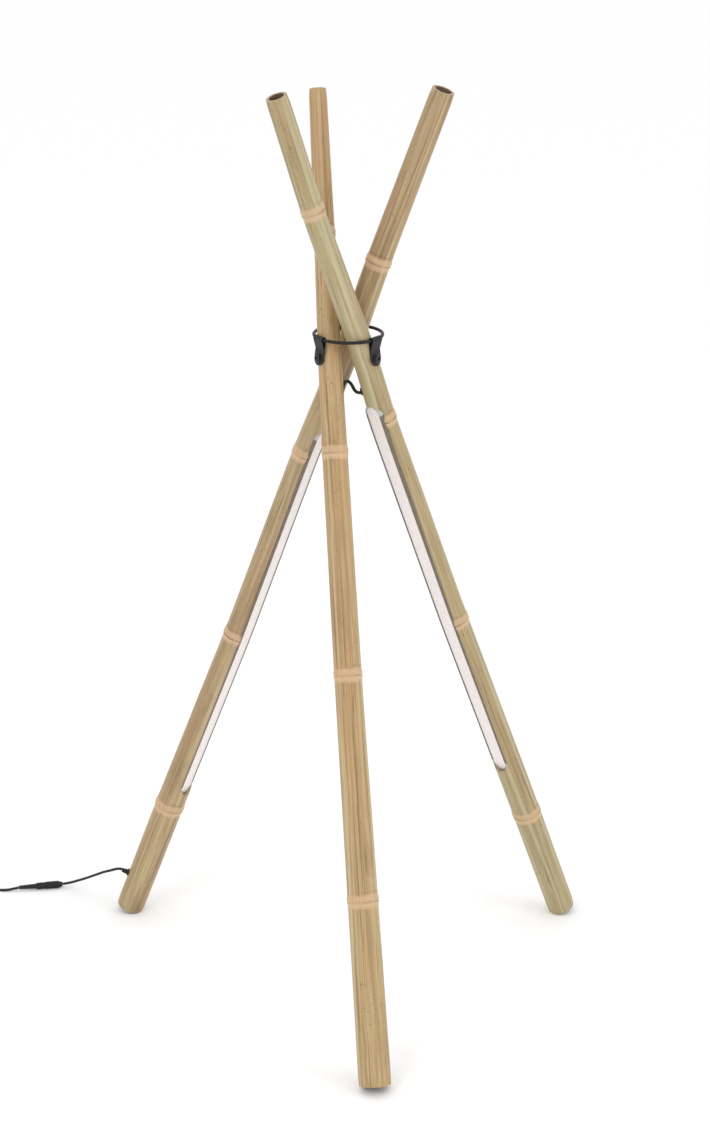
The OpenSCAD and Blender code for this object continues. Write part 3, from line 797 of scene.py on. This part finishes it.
def bamboo(name, skin, warm, dark, pale, seed, browning):
    """Dried bamboo: lengthwise fibres and streaks, specks, pale bands with a brown line at the nodes."""
    b = Build(name, {"Coat Weight": 0.18, "Coat Roughness": 0.35, "Roughness": 0.5})
    local = b.attribute("local", True)
    band = b.attribute("band")
    close = b.ramp(b.attribute("close"), (0.1, 0), (0.3, 1))
    tone = b.attribute("tone")
    depth = b.attribute("depth")
    long_streak = b.noise(b.scaled(local, (60, 60, 2.2), (seed, 0, 0)), 1.0, 5, 0.6)
    fibre = b.noise(b.scaled(local, (420, 420, 7), (0, seed, 0)), 1.0, 3, 0.6)
    cloud = b.noise(b.scaled(local, (26, 26, 9), (0, 0, seed)), 1.0, 4, 0.6)
    base = b.mix(b.ramp(long_streak, (0.36, 0), (0.66, 1)), skin, warm)
    base = b.mix(b.math("MULTIPLY", b.ramp(cloud, (0.5, 0), (0.75, 1)), browning), base, dark)
    base = b.mix(b.math("MULTIPLY", tone, 0.3), base, warm)
    base = b.mix(b.math("MULTIPLY", b.ramp(fibre, (0.3, 1), (0.5, 0)), 0.5), base, dark)
    base = b.mix(b.math("MULTIPLY", b.ramp(fibre, (0.52, 0), (0.72, 1)), 0.5), base, pale)
    # Narrow brown streaks
    thin = b.noise(b.scaled(local, (260, 260, 3), (seed, seed, 0)), 1.0, 2, 0.5)
    base = b.mix(b.math("MULTIPLY", b.ramp(thin, (0.59, 0), (0.66, 1)), 0.75), base, dark)
    wide = b.noise(b.scaled(local, (110, 110, 1.6), (0, seed, 2)), 1.0, 2, 0.5)
    base = b.mix(b.math("MULTIPLY", b.ramp(wide, (0.55, 0), (0.66, 1)), 0.6), base, warm)
    base = b.mix(b.math("MULTIPLY", b.ramp(wide, (0.34, 1), (0.45, 0)), 0.6), base, pale)
    crack = b.noise(b.scaled(local, (330, 330, 9), (seed, 1, seed)), 1.0, 2, 0.6)
    base = b.mix(b.math("MULTIPLY", b.ramp(crack, (0.64, 0), (0.69, 1)), 0.7), base, dark)
    specks = b.noise(b.scaled(local, (520, 520, 300), (0, seed, seed)), 1.0, 1, 0.4)
    sparse = b.noise(b.scaled(local, (40, 40, 14), (seed, 3, 0)), 1.0, 2, 0.5)
    spots = b.math("MULTIPLY", b.ramp(specks, (0.66, 0), (0.72, 1)), b.ramp(sparse, (0.48, 0), (0.62, 1)))
    base = b.mix(b.math("MULTIPLY", spots, 0.75), base, (0.11, 0.065, 0.035))
    # Node: the pale band, the broken brown scar line, and stains by its edges
    ragged = b.noise(b.scaled(local, (120, 120, 40), (seed, 0, seed)), 1.0, 3, 0.6)
    broad = b.noise(b.scaled(local, (45, 45, 10), (seed, seed, 1)), 1.0, 1, 0.4)
    height = b.math("ADD", band, b.math("MULTIPLY", b.math("SUBTRACT", ragged, 0.5), 0.5))
    up = b.math("ADD", b.math("MULTIPLY", height, 0.1), 0.5)
    peach = b.math("MULTIPLY", b.ramp(up, (0.395, 0), (0.415, 1), (0.575, 1), (0.6, 0)), close)
    base = b.mix(b.math("MULTIPLY", peach, 0.7), base, (0.57, 0.375, 0.215))
    pale_ridge = b.math("MULTIPLY", b.ramp(up, (0.43, 0), (0.455, 1), (0.475, 0)), close)
    base = b.mix(b.math("MULTIPLY", pale_ridge, 0.4), base, (0.66, 0.47, 0.30))
    flat = b.math("ADD", b.math("MULTIPLY", band, 0.1), 0.5)
    line = b.math("MULTIPLY", b.ramp(flat, (0.48, 0), (0.488, 1), (0.495, 1), (0.503, 0)), close)
    patchy_line = b.math("MULTIPLY", line, b.ramp(broad, (0.42, 0.12), (0.6, 0.8)))
    base = b.mix(patchy_line, base, (0.15, 0.08, 0.04))
    edge = b.math("MULTIPLY", b.ramp(up, (0.6, 0), (0.615, 1), (0.65, 0)), close)
    base = b.mix(b.math("MULTIPLY", edge, b.ramp(broad, (0.4, 0.0), (0.6, 0.55))), base, dark)
    # Cut wood at the ends and inside, and painted shade over the hollow's inner wall
    inside = b.ramp(depth, (0.22, 0), (0.32, 1))
    grain = b.noise(b.scaled(local, (900, 900, 20)), 1.0, 2, 0.5)
    wood = b.ramp(grain, (0.35, (0.26, 0.17, 0.095)), (0.65, (0.50, 0.37, 0.23)))
    base = b.mix(inside, base, wood)
    # Painted shade: the hollow's inner wall and septum darkened to a near-black brown
    base = b.mix(b.ramp(depth, (0.98, 0), (1.0, 0.85)), base, (0.10, 0.06, 0.035))
    b.colour(base)
    b.rough(b.ramp(fibre, (0.3, 0.4), (0.7, 0.58)))
    b.bump(b.math("ADD", fibre, b.math("MULTIPLY", long_streak, 0.6)), 0.35, 0.0004)
    return b.mat


def varied(name, low, high, scale, roughness, bump, values):
    """A plain finish with a fine, faint variation in colour and gloss."""
    b = Build(name, values)
    where = b.object_coords()
    grain = b.noise(where, scale, 3, 0.5)
    b.colour(b.ramp(grain, (0.3, low), (0.7, high)))
    b.rough(b.ramp(grain, (0.3, roughness[0]), (0.7, roughness[1])))
    if bump:
        b.bump(grain, bump, 0.0002)
    return b.mat


def opal():
    """Frosted cover: warm white with a fine speckle and a soft, lighter clouding."""
    b = Build("opal_diffuser", {"Roughness": 0.45, "Coat Weight": 0.1, "Coat Roughness": 0.4})
    local = b.attribute("local", True)
    fine = b.noise(b.scaled(local, (700, 700, 700)), 1.0, 2, 0.5)
    soft = b.noise(b.scaled(local, (60, 60, 60)), 1.0, 2, 0.5)
    base = b.ramp(fine, (0.36, (0.70, 0.62, 0.60)), (0.58, (0.86, 0.80, 0.785)))
    base = b.mix(b.math("MULTIPLY", soft, 0.25), base, (0.90, 0.855, 0.84))
    b.colour(base)
    b.bump(fine, 0.2, 0.0002)
    return b.mat


# Skin, warm streaks, dark streaks and pale streaks; then the seed, and how far it has browned
BAMBOOS = {
    "bamboo_front": (
        (0.45, 0.335, 0.16), (0.40, 0.235, 0.095), (0.20, 0.11, 0.042), (0.56, 0.45, 0.26), 3.0, 0.5,
    ),
    "bamboo_right": (
        (0.375, 0.325, 0.165), (0.38, 0.265, 0.125), (0.20, 0.13, 0.055), (0.50, 0.46, 0.30), 11.0, 0.35,
    ),
    "bamboo_left": (
        (0.41, 0.31, 0.155), (0.34, 0.205, 0.095), (0.17, 0.10, 0.045), (0.53, 0.44, 0.27), 23.0, 0.7,
    ),
}
# Two colours, the grain's scale, the range of roughness, the bump's strength and any other shader value
PLAIN = {
    "hardwood": ((0.20, 0.11, 0.055), (0.30, 0.17, 0.09), 90, (0.5, 0.65), 0, {}),
    "black_steel": (
        (0.007, 0.006, 0.008), (0.012, 0.011, 0.013), 240, (0.42, 0.54), 0.15, {"Specular IOR Level": 0.3},
    ),
    "black_screw": (
        (0.009, 0.008, 0.01), (0.016, 0.015, 0.018), 300, (0.34, 0.46), 0.1, {"Specular IOR Level": 0.4},
    ),
    "washer_steel": ((0.05, 0.05, 0.055), (0.08, 0.08, 0.085), 260, (0.36, 0.48), 0.1, {"Metallic": 0.8}),
    # Painted shade: the aluminium is given a dark brownish grey so that the channel's flank beside the bamboo
    # reads as the shadow gap there
    "channel_aluminium": (
        (0.155, 0.125, 0.10), (0.22, 0.18, 0.145), 220, (0.38, 0.5), 0.1, {"Metallic": 0.7},
    ),
    "end_cap_plastic": ((0.40, 0.385, 0.365), (0.47, 0.455, 0.435), 260, (0.5, 0.62), 0.1, {}),
    "board_white": ((0.78, 0.78, 0.76), (0.86, 0.86, 0.84), 180, (0.4, 0.5), 0, {}),
    "led_phosphor": ((0.80, 0.55, 0.12), (0.90, 0.66, 0.20), 400, (0.35, 0.5), 0, {}),
    "bright_steel": ((0.62, 0.62, 0.63), (0.74, 0.74, 0.75), 300, (0.16, 0.26), 0, {"Metallic": 1.0}),
    "wire_black": ((0.018, 0.018, 0.018), (0.03, 0.03, 0.03), 200, (0.5, 0.62), 0, {}),
    "rubber_black": (
        (0.009, 0.009, 0.009), (0.015, 0.015, 0.015), 260, (0.6, 0.72), 0.15, {"Specular IOR Level": 0.25},
    ),
    "cable_black": (
        (0.009, 0.009, 0.01), (0.015, 0.015, 0.016), 180, (0.5, 0.62), 0.1, {"Specular IOR Level": 0.3},
    ),
    "connector_black": (
        (0.009, 0.009, 0.01), (0.014, 0.014, 0.016), 220, (0.48, 0.6), 0.1, {"Specular IOR Level": 0.3},
    ),
    "tie_black": ((0.02, 0.02, 0.02), (0.045, 0.045, 0.045), 500, (0.75, 0.9), 0.4, {}),
    "adapter_black": ((0.013, 0.013, 0.014), (0.022, 0.022, 0.024), 420, (0.42, 0.55), 0.2, {}),
    "blade_brass": ((0.62, 0.46, 0.20), (0.72, 0.55, 0.26), 200, (0.2, 0.3), 0, {"Metallic": 1.0}),
}
MATERIALS = {name: bamboo(name, *look) for name, look in BAMBOOS.items()}
MATERIALS["opal_diffuser"] = opal()
MATERIALS.update({name: varied(name, *look) for name, look in PLAIN.items()})
SLOT_OF = {s["node"]: s["material_slot"] for s in frame["record"]["subparts"]}


def finish_with(obj, slot_name):
    obj.data.materials.clear()
    obj.data.materials.append(MATERIALS[slot_name])


for name, obj in nodes.items():
    mat = MATERIALS[SLOT_OF[name]]
    if len(obj.material_slots):
        for material_slot in obj.material_slots:
            material_slot.material = mat
    else:
        obj.data.materials.append(mat)
for node, obj in bent.items():
    finish_with(obj, SLOT_OF[node])
for k in POLES:
    finish_with(culms[k], "bamboo_" + k)
    finish_with(bars[k]["channel"], "channel_aluminium")
    finish_with(bars[k]["caps"], "end_cap_plastic")
    finish_with(bars[k]["cover"], "opal_diffuser")
for obj in [lamp_lead, adapter_lead, *jumpers]:
    finish_with(obj, "cable_black")


# Studio: pale floor, white surroundings and soft lights


def area_light(name, at, target, size, power):
    data = bpy.data.lights.new(name, "AREA")
    data.shape = "RECTANGLE"
    data.size, data.size_y = size
    data.energy = power
    obj = bpy.data.objects.new(name, data)
    bpy.context.scene.collection.objects.link(obj)
    obj.location = at
    obj.rotation_euler = (Vector(target) - Vector(at)).to_track_quat("-Z", "Y").to_euler()


def studio():
    half = 20
    corners = [(-half, -half, 0), (half, -half, 0), (half, half, 0), (-half, half, 0)]
    floor = make_object("floor", corners, [(0, 1, 2, 3)], scale=1)
    b = Build("floor_white", {"Roughness": 0.9})
    grain = b.noise(b.object_coords(), 30, 2, 0.5)
    b.colour(b.ramp(grain, (0.3, 0.93), (0.7, 0.95)))
    floor.data.materials.append(b.mat)
    world = bpy.data.worlds.new("studio")
    world.use_nodes = True
    background = world.node_tree.nodes["Background"]
    background.inputs["Color"].default_value = (1, 1, 1, 1)
    background.inputs["Strength"].default_value = 1.05
    bpy.context.scene.world = world
    area_light("key", (-2.2, -2.6, 3.2), (0, 0, 0.6), (1.6, 1.6), 26)
    area_light("fill", (2.6, -1.6, 2.2), (0, 0, 0.7), (1.4, 2.0), 16)
    bpy.context.scene.view_settings.view_transform = "Standard"


studio()
